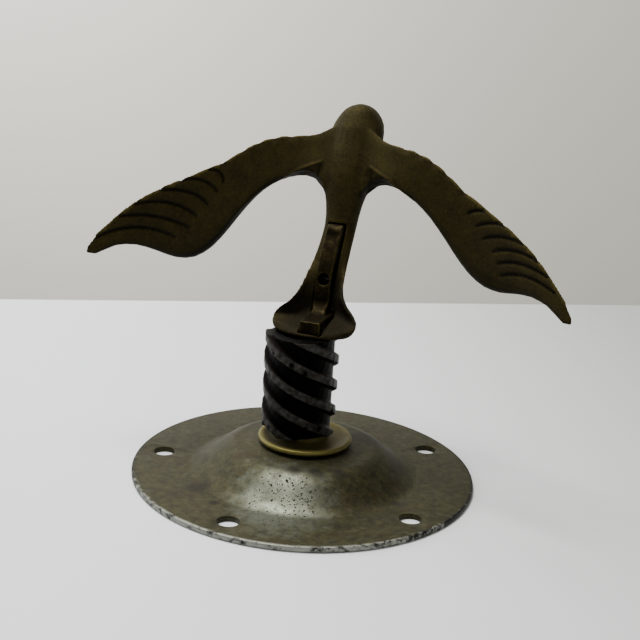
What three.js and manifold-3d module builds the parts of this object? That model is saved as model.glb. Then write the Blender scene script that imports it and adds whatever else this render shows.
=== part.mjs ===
// Hood ornament: a cast brass bird with spread, drooping wings on a domed steel base plate.
// A stud screwed into the foot of the bird's tang runs down through a loose spiral sleeve and a dished
// brass collar to a washer, a spring washer and a nut inside the dome.
// Millimetres. +Z is up, +Y is the way the bird flies, +X is towards its right wing, and the origin is
// the centre of the base plate's underside.

import * as THREE from "three";
import { mergeVertices } from "three/addons/utils/BufferGeometryUtils.js";
import Module from "manifold-3d";

const wasm = await Module();
wasm.setup();

// Clearances
const gap = 0.3; // between pieces that touch
const studPlay = 0.5; // round the stud in the plate, the collar and the washers

// Base plate: a flat rim, an S-shaped slope and a low crown, pressed from sheet
const plateRadius = 50;
const plateThickness = 1.6;
const rimWidth = 16;
const shoulderRadius = 19.5;
const shoulderHeight = 9.5;
const crownRise = 1.1;
const screwHoleRadius = 3.15;
const screwHoleInset = 7.8; // from the plate's edge to the middle of a screw hole
const screwHoleCount = 5;
const screwHoleStart = THREE.MathUtils.degToRad(45.7);

// Collar: a dished washer with a beaded edge and a low hub
const collarRadius = 13.7;
const collarRimHeight = 1.5;
const collarHubRadius = 7;
const collarHubHeight = 3.1;
const collarDishDepth = 0.7;

// Spiral sleeve: a tube with left-hand ridges, standing loose round the stud and off its centre
const sleeveRadius = 10.8;
const sleeveRidgeDepth = 1.45;
const sleeveBoreRadius = 6.2;
const sleeveLength = 29;
const sleeveLead = 30.9;
const sleeveStarts = 4;
const ridgeCrestWidth = 2.6; // along the axis
const ridgeBaseWidth = 3.9; // along the axis
const sleeveOffset = new THREE.Vector2(-2.2, -0.7);
const sleeveTurn = THREE.MathUtils.degToRad(0);

// Stud and its fastenings
const studRadius = 2.3;
const spigotRadius = 1.4; // the stud's narrower upper end, threaded into the tang's foot
const studStandOff = 0.7; // from the table to the stud's lower end
const nutWidth = 9.5; // across flats
const nutHeight = 3.3;
const springWasherRadius = 4.3;
const springWasherHeight = 1.2;
const springWasherSlot = 0.9;
const washerRadius = 9;
const washerHeight = 1.5;

// Tang: a bar let into the tail, with a foot tapped for the stud
const tangWidth = 4.8;
const tangFootWidth = 6.2;
const tangFootWall = 0.4; // between the threaded hole and the foot's left face
const tangFootHeight = 4.4;
const tangFootNear = -4.8; // near end of the foot, behind the stud
const tangFootFar = 9.3;
const tangFootRoof = 0.8; // metal left above the blind threaded hole
const tangScrewRadius = 1.4;
const tangScrewHeight = 13.6; // above the bird's base
const tangScrewNear = 9.2; // its slotted end, sunk a little below the tang's near face
const tangScrewLength = 4.4;

// Bird
const birdHeight = 61.2; // from its tail's lower edge to the top of its head
const wingHalfSpan = 72.5;
const wingDepthDifference = 1.9; // the left wing was cast deeper and the right one shallower
const wingDepthPlace = 0.65; // where the two differ most, as a share of the half span
const wingDepthReach = 0.18;
const skullRadius = 5.8;
const skullForward = 37.4;
const skullDrop = 8.2; // of its middle, below the top of the bird
const beakRadius = 2.6;
const beakLength = 8;
const beakDroop = THREE.MathUtils.degToRad(32);

// Finishes
const castBrass = new THREE.MeshStandardMaterial({ color: "#4a4330", roughness: 0.55, metalness: 0.8 });
const tangBrass = new THREE.MeshStandardMaterial({ color: "#6b5c3a", roughness: 0.6, metalness: 0.8 });
const collarBrass = new THREE.MeshStandardMaterial({ color: "#7d7236", roughness: 0.4, metalness: 0.9 });
const blackSteel = new THREE.MeshStandardMaterial({ color: "#2b2826", roughness: 0.55, metalness: 0.7 });
const plateSteel = new THREE.MeshStandardMaterial({ color: "#8a8474", roughness: 0.45, metalness: 0.8 });
const boltSteel = new THREE.MeshStandardMaterial({ color: "#77736b", roughness: 0.5, metalness: 0.85 });

// Heights of the stack, each worked out from the piece below it
const crownTop = shoulderHeight + crownRise;
const collarBase = crownTop + gap;
const sleeveBase = collarBase + collarHubHeight + gap;
const birdBase = sleeveBase + sleeveLength + gap;
const crownUnderWasher = crownHeight(washerRadius) - plateThickness;
const washerBase = crownUnderWasher - gap - washerHeight;
const springWasherBase = washerBase - gap - springWasherHeight;
const nutBase = springWasherBase - gap - nutHeight;
const studTop = birdBase + tangFootHeight - tangFootRoof - gap;

// Radius of the foot's threaded hole
const threadRadius = spigotRadius + gap;

// Height of the crown's upper face at a distance from the plate's axis
function crownHeight(radius) {
  return shoulderHeight + crownRise * (1 - (radius / shoulderRadius) ** 2);
}

// A closed geometry as a solid that can be cut and joined
function solid(geometry) {
  const bare = geometry.clone();
  bare.deleteAttribute("normal");
  bare.deleteAttribute("uv");
  const merged = mergeVertices(bare, 1e-4);
  return new wasm.Manifold(
    new wasm.Mesh({
      numProp: 3,
      vertProperties: new Float32Array(merged.attributes.position.array),
      triVerts: new Uint32Array(merged.index.array),
    }),
  );
}

// A solid as a geometry that a mesh can hold
function surface(body) {
  const mesh = body.getMesh();
  const geometry = new THREE.BufferGeometry();
  geometry.setAttribute("position", new THREE.BufferAttribute(new Float32Array(mesh.vertProperties), 3));
  geometry.setIndex(new THREE.BufferAttribute(new Uint32Array(mesh.triVerts), 1));
  geometry.computeVertexNormals();
  return geometry;
}

// A named piece with its finish
function piece(name, body, material) {
  const mesh = new THREE.Mesh(body.isBufferGeometry ? body : surface(body), material);
  mesh.name = name;
  return mesh;
}

// An upright cylinder between two heights
function post(radius, low, high, sides = 32) {
  const geometry = new THREE.CylinderGeometry(radius, radius, high - low, sides);
  geometry.rotateX(Math.PI / 2);
  geometry.translate(0, 0, (low + high) / 2);
  return geometry;
}

// A ring turned about the Z axis from a closed outline of radius and height
function turned(outline, sides = 48) {
  const points = outline.map(([radius, height]) => new THREE.Vector2(radius, height));
  const geometry = new THREE.LatheGeometry([...points, points[0]], sides);
  geometry.rotateX(Math.PI / 2);
  return geometry;
}

// A closed skin over rings that all have the same number of points, with a flat cap at each end
function loft(rings) {
  const count = rings[0].length;
  const positions = rings.flat().flatMap((point) => [point.x, point.y, point.z]);
  const faces = [];
  for (let ring = 0; ring < rings.length - 1; ring++) {
    for (let i = 0; i < count; i++) {
      const a = ring * count + i;
      const b = ring * count + ((i + 1) % count);
      faces.push(a, b, b + count, a, b + count, a + count);
    }
  }
  for (const [ring, start] of [[rings[0], 0], [rings.at(-1), (rings.length - 1) * count]]) {
    const middle = ring.reduce((sum, point) => sum.add(point), new THREE.Vector3()).divideScalar(count);
    const centre = positions.length / 3;
    positions.push(middle.x, middle.y, middle.z);
    for (let i = 0; i < count; i++) {
      const next = (i + 1) % count;
      if (start === 0) faces.push(centre, start + next, start + i);
      else faces.push(centre, start + i, start + next);
    }
  }
  const geometry = new THREE.BufferGeometry();
  geometry.setAttribute("position", new THREE.Float32BufferAttribute(positions, 3));
  geometry.setIndex(faces);
  return geometry;
}

// Smooth values between hand-set stations: each station is a list whose first number is its place
function between(stations, place) {
  const curves = stations[0].slice(1).map((_, column) =>
    new THREE.CatmullRomCurve3(
      stations.map((row) => new THREE.Vector3(row[0], row[column + 1], 0)),
      false,
      "centripetal",
    ),
  );
  return curves.map((curve) => {
    let low = 0;
    let high = 1;
    for (let step = 0; step < 30; step++) {
      const middle = (low + high) / 2;
      if (curve.getPoint(middle).x < place) low = middle;
      else high = middle;
    }
    return curve.getPoint((low + high) / 2).y;
  });
}

// Base plate: pressed from one sheet, with a centre hole and screw holes round the rim
function basePlate() {
  const footRadius = plateRadius - rimWidth;
  const edgeRound = plateThickness / 4;
  const top = [];
  const crownSteps = 3;
  for (let i = 1; i <= crownSteps; i++) {
    const radius = (shoulderRadius * i) / (crownSteps + 0.6);
    top.push([radius, crownHeight(radius)]);
  }
  const slopeSteps = 9;
  for (let i = 0; i <= slopeSteps; i++) {
    const share = i / slopeSteps;
    const radius = shoulderRadius + (footRadius - shoulderRadius) * share;
    const fall = (1 - Math.cos(Math.PI * share)) / 2;
    top.push([radius, shoulderHeight + (plateThickness - shoulderHeight) * fall]);
  }
  const underside = top.map(([radius, height], i) => {
    const [r0, z0] = top[Math.max(i - 1, 0)];
    const [r1, z1] = top[Math.min(i + 1, top.length - 1)];
    const length = Math.hypot(r1 - r0, z1 - z0);
    const across = ((z1 - z0) / length) * plateThickness;
    const down = ((r1 - r0) / length) * plateThickness;
    return [radius + across, Math.max(height - down, 0)];
  });
  const hole = studRadius + studPlay;
  const outline = [
    [hole, crownTop - plateThickness],
    ...underside,
    [plateRadius - edgeRound, 0],
    [plateRadius, edgeRound],
    [plateRadius, plateThickness - edgeRound],
    [plateRadius - edgeRound, plateThickness],
    ...top.reverse(),
    [hole, crownTop],
  ];
  let body = solid(turned(outline, 48));
  for (let i = 0; i < screwHoleCount; i++) {
    const angle = screwHoleStart + (2 * Math.PI * i) / screwHoleCount;
    const drill = post(screwHoleRadius, -1, plateThickness + 1, 20);
    const distance = plateRadius - screwHoleInset;
    drill.translate(distance * Math.cos(angle), distance * Math.sin(angle), 0);
    body = body.subtract(solid(drill));
  }
  return body;
}

// Collar: its beaded edge stands proud of a shallow dish, and the hub carries the sleeve
function collar() {
  const rimTop = collarBase + collarRimHeight;
  const bead = collarRimHeight / 2;
  const outline = [[studRadius + studPlay, collarBase]];
  const beadSteps = 6;
  for (let i = 0; i <= beadSteps; i++) {
    const angle = -Math.PI / 2 + (Math.PI * i) / beadSteps;
    outline.push([
      collarRadius - bead + bead * Math.cos(angle),
      collarBase + bead + bead * Math.sin(angle),
    ]);
  }
  const dishOuter = collarRadius - 2 * bead;
  const dishSteps = 5;
  for (let i = 1; i <= dishSteps; i++) {
    const share = i / (dishSteps + 1);
    const radius = dishOuter + (collarHubRadius - dishOuter) * share;
    outline.push([radius, rimTop - collarDishDepth * Math.sin(Math.PI * share)]);
  }
  outline.push([collarHubRadius, rimTop]);
  outline.push([collarHubRadius, collarBase + collarHubHeight]);
  outline.push([studRadius + studPlay, collarBase + collarHubHeight]);
  return turned(outline, 40);
}

// Spiral sleeve: the tube's section with its ridges, turned as it rises
function spiralSleeve() {
  const root = sleeveRadius - sleeveRidgeDepth;
  const crest = (Math.PI * ridgeCrestWidth) / sleeveLead;
  const base = (Math.PI * ridgeBaseWidth) / sleeveLead;
  const pitch = (2 * Math.PI) / sleeveStarts;
  const section = [];
  for (let start = 0; start < sleeveStarts; start++) {
    const middle = start * pitch;
    section.push([middle - base, root]);
    section.push([middle - crest, sleeveRadius]);
    section.push([middle, sleeveRadius]);
    section.push([middle + crest, sleeveRadius]);
    section.push([middle + base, root]);
    section.push([middle + base + (pitch - 2 * base) / 3, root]);
    section.push([middle + base + (2 * (pitch - 2 * base)) / 3, root]);
  }
  const steps = Math.ceil(sleeveLength);
  const rings = [];
  for (let i = 0; i <= steps; i++) {
    const height = (sleeveLength * i) / steps;
    const turn = sleeveTurn - (2 * Math.PI * height) / sleeveLead;
    rings.push(
      section.map(
        ([angle, radius]) =>
          new THREE.Vector3(
            radius * Math.cos(angle + turn) + sleeveOffset.x,
            radius * Math.sin(angle + turn) + sleeveOffset.y,
            sleeveBase + height,
          ),
      ),
    );
  }
  const bore = post(sleeveBoreRadius, sleeveBase - 1, sleeveBase + sleeveLength + 1, 32);
  bore.translate(sleeveOffset.x, sleeveOffset.y, 0);
  return solid(loft(rings)).subtract(solid(bore));
}

// Stud: a rod with chamfered ends, stepped down where it enters the tang's foot
function stud() {
  const chamfer = 0.5;
  const shankTop = birdBase - gap;
  const outline = [
    [0, studStandOff],
    [studRadius - chamfer, studStandOff],
    [studRadius, studStandOff + chamfer],
    [studRadius, shankTop],
    [spigotRadius, shankTop],
    [spigotRadius, studTop - chamfer],
    [spigotRadius - chamfer, studTop],
    [0, studTop],
  ];
  const points = outline.map(([radius, height]) => new THREE.Vector2(radius, height));
  const geometry = new THREE.LatheGeometry(points, 24);
  geometry.rotateX(Math.PI / 2);
  return geometry;
}

// A flat washer with its upper and lower outer edges eased
function flatWasher(radius, low, height) {
  const ease = height / 5;
  return turned(
    [
      [studRadius + studPlay, low],
      [radius - ease, low],
      [radius, low + ease],
      [radius, low + height - ease],
      [radius - ease, low + height],
      [studRadius + studPlay, low + height],
    ],
    32,
  );
}

// Spring washer: a ring split by one slanting saw cut
function springWasher() {
  const ring = solid(
    turned(
      [
        [studRadius + gap, springWasherBase],
        [springWasherRadius, springWasherBase],
        [springWasherRadius, springWasherBase + springWasherHeight],
        [studRadius + gap, springWasherBase + springWasherHeight],
      ],
      32,
    ),
  );
  const cut = new THREE.BoxGeometry(2 * springWasherRadius, springWasherSlot, 4 * springWasherHeight);
  cut.rotateX(Math.PI / 6);
  cut.translate(springWasherRadius, 0, springWasherBase + springWasherHeight / 2);
  return ring.subtract(solid(cut));
}

// Hexagon nut: its corners are turned back to a circle at both faces
function hexNut() {
  const corner = nutWidth / 2 / Math.cos(Math.PI / 6);
  const block = solid(post(corner, nutBase, nutBase + nutHeight, 6));
  const face = nutWidth / 2;
  const ease = (corner - face) * 0.6;
  const rounded = solid(
    turned(
      [
        [studRadius + gap, nutBase],
        [face, nutBase],
        [corner, nutBase + ease],
        [corner, nutBase + nutHeight - ease],
        [face, nutBase + nutHeight],
        [studRadius + gap, nutBase + nutHeight],
      ],
      36,
    ),
  );
  return block.intersect(rounded);
}

// Side view of the tang, as distances forward and up from the bird's base: the near face climbs from the
// foot to a round top, and the back follows the channel in the tail
function tangOutline(spread) {
  const low = 3.2 - spread;
  const shape = new THREE.Shape();
  shape.moveTo(6.9 - spread, low);
  shape.splineThru([
    new THREE.Vector2(8.1 - spread, 13.4),
    new THREE.Vector2(10.6 - spread, 19.4),
    new THREE.Vector2(14.8 - spread, 25.6),
  ]);
  shape.splineThru([
    new THREE.Vector2(15.6 - spread, 27.2 + spread),
    new THREE.Vector2(17.4, 28.1 + spread),
    new THREE.Vector2(19.2 + spread, 27.3 + spread),
    new THREE.Vector2(19.6 + spread, 25.6),
  ]);
  shape.splineThru([
    new THREE.Vector2(17 + spread, 21.6),
    new THREE.Vector2(13.2 + spread, 16.4),
    new THREE.Vector2(10.4 + spread, 11.4),
    new THREE.Vector2(tangFootFar + spread, low),
  ]);
  shape.closePath();
  return shape;
}

// A side view drawn forward and up, given a width across the mid-plane
function acrossMidPlane(shape, width) {
  const geometry = new THREE.ExtrudeGeometry(shape, { depth: width, bevelEnabled: false, curveSegments: 5 });
  geometry.translate(0, 0, -width / 2);
  const forward = new THREE.Vector3(0, 1, 0);
  const up = new THREE.Vector3(0, 0, 1);
  const right = new THREE.Vector3(1, 0, 0);
  geometry.applyMatrix4(new THREE.Matrix4().makeBasis(forward, up, right));
  geometry.translate(0, 0, birdBase);
  return geometry;
}

// Screw hole or screw through the tang, level and along the way the bird flies
function tangScrewRod(radius, start, length) {
  const rod = new THREE.CylinderGeometry(radius, radius, length, 20);
  rod.translate(0, start + length / 2, birdBase + tangScrewHeight);
  return rod;
}

// The tang's foot, or with a spread the room that it needs
function tangFoot(spread) {
  const width = tangFootWidth + 2 * spread;
  const length = tangFootFar - tangFootNear + 2 * spread;
  const height = tangFootHeight + 2 * spread;
  const middle = tangFootWidth / 2 - tangFootWall - threadRadius;
  const block = new THREE.BoxGeometry(width, length, height);
  block.translate(middle, (tangFootNear + tangFootFar) / 2, birdBase + tangFootHeight / 2);
  return block;
}

function tang() {
  const thread = post(threadRadius, birdBase - 1, studTop + gap, 20);
  const screwHole = tangScrewRod(tangScrewRadius + gap, 0, 20);
  return solid(acrossMidPlane(tangOutline(0), tangWidth))
    .add(solid(tangFoot(0)))
    .subtract(solid(thread))
    .subtract(solid(screwHole));
}

// The screw that holds the tang in its channel
function tangScrew() {
  const screw = solid(tangScrewRod(tangScrewRadius, tangScrewNear, tangScrewLength));
  const slot = new THREE.BoxGeometry(2 * tangScrewRadius + 1, 1, 0.6);
  slot.translate(0, tangScrewNear, birdBase + tangScrewHeight);
  return screw.subtract(solid(slot));
}

// Level sections of the bird from tail to crown: height as a share of the whole, half width, how far
// forward its side edges lie, how far the front bulges past them, and how far the back lies past them
// (more than nothing where the tail is scooped out, less where the back is round)
const bodyStations = [
  [0, 11.2, 1, 9.8, -7],
  [0.018, 12.1, 1.1, 9.8, -6.8],
  [0.03, 12.5, 1.2, 9.7, -5.2],
  [0.042, 12.6, 1.4, 9.5, 1],
  [0.056, 12.5, 1.7, 9.3, 4.6],
  [0.075, 11.8, 2.2, 9, 5.4],
  [0.1, 9.8, 3.2, 8.6, 5.2],
  [0.14, 7.5, 4.3, 8.4, 4.6],
  [0.19, 6.2, 6.8, 7.2, 3.4],
  [0.24, 5.7, 9.9, 6.1, 1.4],
  [0.3, 5.1, 14.6, 4.9, -1.8],
  [0.37, 4.8, 18.5, 4.7, -4],
  [0.43, 4.7, 21.4, 4.8, -4.6],
  [0.51, 5.1, 23.2, 5.2, -5],
  [0.58, 6.1, 24.4, 6, -5.8],
  [0.66, 7.3, 26, 8, -6.6],
  [0.76, 8, 28.6, 10.4, -7.2],
  [0.86, 7.7, 31.6, 12, -7.2],
  [0.92, 6.6, 33, 11, -6.4],
  [0.965, 4.8, 33.3, 8.2, -4.8],
  [0.99, 2.7, 33.2, 5, -2.8],
  [1, 0.8, 33.1, 1.6, -0.8],
];

function birdBody() {
  const rings = [];
  const levels = 28;
  const halfPoints = 11;
  for (let level = 0; level <= levels; level++) {
    const share = 0.5 - 0.5 * Math.cos(Math.PI * (0.06 + (0.94 * level) / levels));
    const low = 0.5 - 0.5 * Math.cos(Math.PI * 0.06);
    const place = (share - low) / (1 - low);
    const [width, edge, front, back] = between(bodyStations, place);
    const ring = [];
    for (let i = 0; i < halfPoints; i++) {
      const angle = (Math.PI * i) / halfPoints;
      ring.push([width * Math.cos(angle), edge + front * Math.sin(angle)]);
    }
    const lip = Math.min(1, Math.max(0, back / 4)) * 0.9;
    for (let i = 0; i < halfPoints; i++) {
      const angle = Math.PI - (Math.PI * i) / halfPoints;
      const inner = (width - lip) * Math.cos(angle);
      ring.push([i === 0 ? -width : inner, edge + back * Math.sin(angle)]);
    }
    rings.push(ring.map(([x, y]) => new THREE.Vector3(x, y, birdBase + place * birdHeight)));
  }
  return loft(rings);
}

// Wing sections from root to tip: distance out as a share of the half span, then how far forward the upper
// (feathered) edge lies and its height as a share of the bird's, the same for the lower (leading) edge,
// and the thickness of the band along the lower edge
const wingStations = [
  [0.03, 28.5, 0.9232, 23.2, 0.5474, 7.2],
  [0.08, 28, 0.8987, 23.3, 0.5784, 7.2],
  [0.11, 27.2, 0.8725, 23.5, 0.6209, 7],
  [0.145, 26, 0.8529, 23.7, 0.6487, 6.5],
  [0.2, 24.4, 0.8415, 23.2, 0.6503, 6.1],
  [0.275, 22.6, 0.8268, 22.6, 0.6193, 5.8],
  [0.345, 21.3, 0.8023, 22, 0.5621, 5.6],
  [0.415, 20, 0.7565, 21.5, 0.4722, 5.4],
  [0.51, 18, 0.6765, 20.6, 0.3268, 5.2],
  [0.56, 16.6, 0.6503, 19.8, 0.2663, 5.1],
  [0.62, 14.7, 0.6111, 18.4, 0.2239, 5],
  [0.69, 12, 0.5719, 16, 0.219, 4.6],
  [0.76, 9.2, 0.5229, 12.8, 0.2467, 4],
  [0.83, 6.5, 0.4673, 9, 0.268, 3.4],
  [0.9, 3.9, 0.3873, 5.2, 0.2582, 2.8],
  [0.955, 1.9, 0.317, 2.3, 0.219, 2.4],
  [0.985, 0.8, 0.2761, 0.9, 0.2075, 2],
  [1, 0.2, 0.2451, 0.3, 0.2141, 1.2],
];

// Half thickness of a wing section, from the lower edge (0) to the upper edge (1)
const wingThickness = [
  [0, 0.02],
  [0.03, 0.3],
  [0.1, 0.48],
  [0.22, 0.5],
  [0.42, 0.4],
  [0.65, 0.28],
  [0.88, 0.18],
  [0.98, 0.1],
  [1, 0.02],
];

function wing(side) {
  const rings = [];
  const steps = 28;
  const first = wingStations[0][0];
  for (let i = 0; i <= steps; i++) {
    const place = first + (1 - first) * (i / steps);
    const [upperForward, upperHeight, lowerForward, lowerHeight, band] = between(wingStations, place);
    const middle = Math.exp(-(((place - wingDepthPlace) / wingDepthReach) ** 2));
    const droop = lowerHeight * birdHeight + side * wingDepthDifference * middle;
    const lower = new THREE.Vector2(lowerForward, droop);
    const upper = new THREE.Vector2(upperForward, upperHeight * birdHeight);
    const chord = upper.clone().sub(lower);
    const normal = new THREE.Vector2(-chord.y, chord.x).normalize();
    const near = wingThickness.map(([along, half]) =>
      lower.clone().addScaledVector(chord, along).addScaledVector(normal, half * band));
    const far = wingThickness.slice(1, -1).map(([along, half]) =>
      lower.clone().addScaledVector(chord, along).addScaledVector(normal, -half * band));
    const ring = [...near, ...far.reverse()];
    rings.push(ring.map((point) =>
      new THREE.Vector3(side * place * wingHalfSpan, point.x, birdBase + point.y)));
  }
  return loft(side < 0 ? rings : rings.map((ring) => [...ring].reverse()));
}

// Head and beak, carried forward of the crown
function head() {
  const skullHeight = birdBase + birdHeight - skullDrop;
  const skull = new THREE.SphereGeometry(skullRadius, 24, 16);
  skull.scale(1, 1.15, 1);
  skull.translate(0, skullForward, skullHeight);
  const beak = new THREE.ConeGeometry(beakRadius, beakLength, 16);
  beak.rotateX(-beakDroop);
  const beakMiddle = skullRadius + 0.3 * beakLength;
  beak.translate(
    0,
    skullForward + beakMiddle * Math.cos(beakDroop),
    skullHeight - beakMiddle * Math.sin(beakDroop),
  );
  return solid(skull).add(solid(beak));
}

function bird() {
  const slot = solid(acrossMidPlane(tangOutline(gap), tangWidth + 2 * gap));
  const screwHole = tangScrewRod(tangScrewRadius + gap, 0, tangScrewNear + tangScrewLength + gap);
  return solid(birdBody())
    .add(solid(wing(-1)))
    .add(solid(wing(1)))
    .add(head())
    .subtract(slot)
    .subtract(solid(tangFoot(gap)))
    .subtract(solid(screwHole));
}

const ornament = new THREE.Group();
ornament.add(piece("base_plate", basePlate(), plateSteel));
ornament.add(piece("collar", collar(), collarBrass));
ornament.add(piece("spiral_sleeve", spiralSleeve(), blackSteel));
ornament.add(piece("stud", stud(), boltSteel));
ornament.add(piece("flat_washer", flatWasher(washerRadius, washerBase, washerHeight), boltSteel));
ornament.add(piece("spring_washer", springWasher(), boltSteel));
ornament.add(piece("nut", hexNut(), boltSteel));
ornament.add(piece("tang", tang(), tangBrass));
ornament.add(piece("tang_screw", tangScrew(), boltSteel));
ornament.add(piece("bird", bird(), castBrass));

export default ornament;
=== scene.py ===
"""A hood ornament: a cast brass bird on a spiral steel sleeve, a brass collar and a domed steel plate."""

import math

import bpy
import numpy as np
from mathutils import Matrix, Vector


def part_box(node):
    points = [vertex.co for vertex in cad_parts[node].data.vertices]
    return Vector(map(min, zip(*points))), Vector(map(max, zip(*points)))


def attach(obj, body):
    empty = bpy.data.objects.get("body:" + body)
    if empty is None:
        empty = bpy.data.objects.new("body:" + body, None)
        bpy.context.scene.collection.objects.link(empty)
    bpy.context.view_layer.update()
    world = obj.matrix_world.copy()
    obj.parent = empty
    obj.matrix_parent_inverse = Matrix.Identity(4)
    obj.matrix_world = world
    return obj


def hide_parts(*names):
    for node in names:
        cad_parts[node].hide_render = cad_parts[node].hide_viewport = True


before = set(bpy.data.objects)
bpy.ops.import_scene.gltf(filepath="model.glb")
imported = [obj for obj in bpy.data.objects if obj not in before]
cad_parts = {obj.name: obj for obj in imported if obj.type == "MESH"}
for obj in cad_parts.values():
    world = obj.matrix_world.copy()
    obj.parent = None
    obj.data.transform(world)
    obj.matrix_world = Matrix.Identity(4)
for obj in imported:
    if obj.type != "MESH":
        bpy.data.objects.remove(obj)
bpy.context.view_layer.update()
mm = 0.001


# Camera: a long lens a forearm's length away, behind the bird, a little to its right and above it.
camera_distance = 371.1 * mm
camera_turn = math.radians(18.4)
camera_elevation = math.radians(24.1)
camera_roll = math.radians(3.36)
camera_yaw = math.radians(-0.79)
camera_pitch = math.radians(6.98)

bpy.ops.object.camera_add()
camera = bpy.context.object
camera.name = "camera"
camera.data.lens = 70.2
camera.data.clip_start = 10 * mm
across_and_up = Matrix.Rotation(camera_turn, 3, "Z") @ Matrix.Rotation(math.pi / 2 - camera_elevation, 3, "X")
tilt = (
    Matrix.Rotation(camera_roll, 3, "Z")
    @ Matrix.Rotation(camera_yaw, 3, "Y")
    @ Matrix.Rotation(camera_pitch, 3, "X")
)
camera.location = across_and_up @ Vector((0, 0, camera_distance))
camera.rotation_euler = (across_and_up @ tilt).to_euler()
bpy.context.scene.camera = camera


# Stage: a sheet of white card that ends a hand's width behind the ornament, and a warm white room round it.
# The light is a ceiling panel, a dim window on the left and a weak lamp on the right, and one more lamp
# brightens the wall's left side.
card_turn = math.radians(28.6)
card_back_edge = 177 * mm
card_size = 1600 * mm

bpy.ops.object.select_all(action="DESELECT")
bpy.ops.mesh.primitive_plane_add(size=card_size)
card = bpy.context.object
card.name = "card"
card.matrix_world = (
    Matrix.Rotation(card_turn, 4, "Z") @ Matrix.Translation((0, card_back_edge - card_size / 2, -0.05 * mm))
)

wall_distance = 1100 * mm
bpy.ops.object.select_all(action="DESELECT")
bpy.ops.mesh.primitive_plane_add(size=3 * wall_distance)
wall = bpy.context.object
wall.name = "wall"
wall.matrix_world = Matrix.Translation((0, wall_distance, 0)) @ Matrix.Rotation(math.pi / 2, 4, "X")

bpy.context.scene.world = bpy.data.worlds.new("warm white room")
bpy.context.scene.world.use_nodes = True
room = bpy.context.scene.world.node_tree.nodes["Background"]
room.inputs["Color"].default_value = (0.80, 0.82, 0.80, 1)
room.inputs["Strength"].default_value = 0.17


def softbox(name, place, target, width, power, tint):
    """A square panel light that points at a target."""
    bpy.ops.object.light_add(type="AREA", location=place)
    lamp = bpy.context.object
    lamp.name = name
    lamp.data.size = width
    lamp.data.energy = power
    lamp.data.color = tint
    lamp.rotation_euler = (Vector(target) - Vector(place)).to_track_quat("-Z", "Y").to_euler()


softbox("ceiling_panel", (-0.2, 0.05, 0.8), (0, 0, 0.04), 0.35, 11.5, (1, 0.98, 0.93))
softbox("left_window", (-1.3, 0.05, 0.6), (0, 0, 0.04), 0.6, 9, (0.97, 0.99, 1))
softbox("room_light", (0.6, -0.6, 0.5), (0, 0, 0.06), 0.5, 2, (1, 0.96, 0.9))
softbox("wall_lamp", (-1.0, 0.4, 0.6), (-0.75, 1.1, 0.25), 0.5, 15, (1, 0.99, 0.96))


# Base plate: sheet steel pressed into a low dome with a flat rim, then plated. The plating has stained
# olive brown; it is rubbed to bare, pitted steel on the dome's slope and along the rim's edge, and the pale
# patch on the front of the slope is partly a painted highlight.
plate_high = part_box("base_plate")[1]
plate_radius = plate_high.x
plate_thickness = 1.6 * mm
rim_width = 16 * mm
shoulder_radius = 19.5 * mm
shoulder_height = 9.5 * mm
crown_rise = 1.1 * mm
stud_radius = 2.3 * mm
stud_play = 0.5 * mm
screw_hole_radius = 3.15 * mm
screw_hole_inset = 7.8 * mm
screw_hole_count = 5
screw_hole_start = math.radians(45.7)


def spun(name, outline, steps):
    """A closed outline of radius and height, drawn as a chain of edges and spun round the Z axis."""
    bpy.ops.object.select_all(action="DESELECT")
    bpy.ops.mesh.primitive_plane_add(size=1 * mm)
    piece = bpy.context.object
    piece.name = name
    bpy.ops.object.mode_set(mode="EDIT")
    bpy.ops.mesh.merge(type="CENTER")
    bpy.ops.transform.translate(value=(outline[0][0], 0, outline[0][1]))
    for (radius, height), (next_radius, next_height) in zip(outline, outline[1:] + outline[:1]):
        step = (next_radius - radius, 0, next_height - height)
        bpy.ops.mesh.extrude_vertices_move(TRANSFORM_OT_translate={"value": step})
    bpy.ops.mesh.select_all(action="SELECT")
    bpy.ops.mesh.spin(steps=steps, angle=2 * math.pi, center=(0, 0, 0), axis=(0, 0, 1))
    bpy.ops.mesh.select_all(action="SELECT")
    bpy.ops.mesh.remove_doubles(threshold=0.001 * mm)
    bpy.ops.mesh.normals_make_consistent(inside=False)
    bpy.ops.object.mode_set(mode="OBJECT")
    return piece


def arc(centre, radius, start, end, steps):
    """Points on an arc of an outline, from one angle to another in degrees, both ends included."""
    turns = [math.radians(start + (end - start) * i / steps) for i in range(steps + 1)]
    return [(centre[0] + radius * math.cos(turn), centre[1] + radius * math.sin(turn)) for turn in turns]


def finished(piece, modifier_kind, **settings):
    """Adds a modifier to a piece and applies it."""
    modifier = piece.modifiers.new(modifier_kind.lower(), modifier_kind)
    for setting, value in settings.items():
        setattr(modifier, setting, value)
    bpy.ops.object.select_all(action="DESELECT")
    bpy.context.view_layer.objects.active = piece
    piece.select_set(True)
    bpy.ops.object.modifier_apply(modifier=modifier.name)
    return piece


def smooth(piece, degrees):
    """Smooth shading, broken where two faces meet at more than that many degrees."""
    bpy.ops.object.select_all(action="DESELECT")
    bpy.context.view_layer.objects.active = piece
    piece.select_set(True)
    bpy.ops.object.shade_smooth_by_angle(angle=math.radians(degrees))


def crown_height(radius):
    return shoulder_height + crown_rise * (1 - (radius / shoulder_radius) ** 2)


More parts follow.
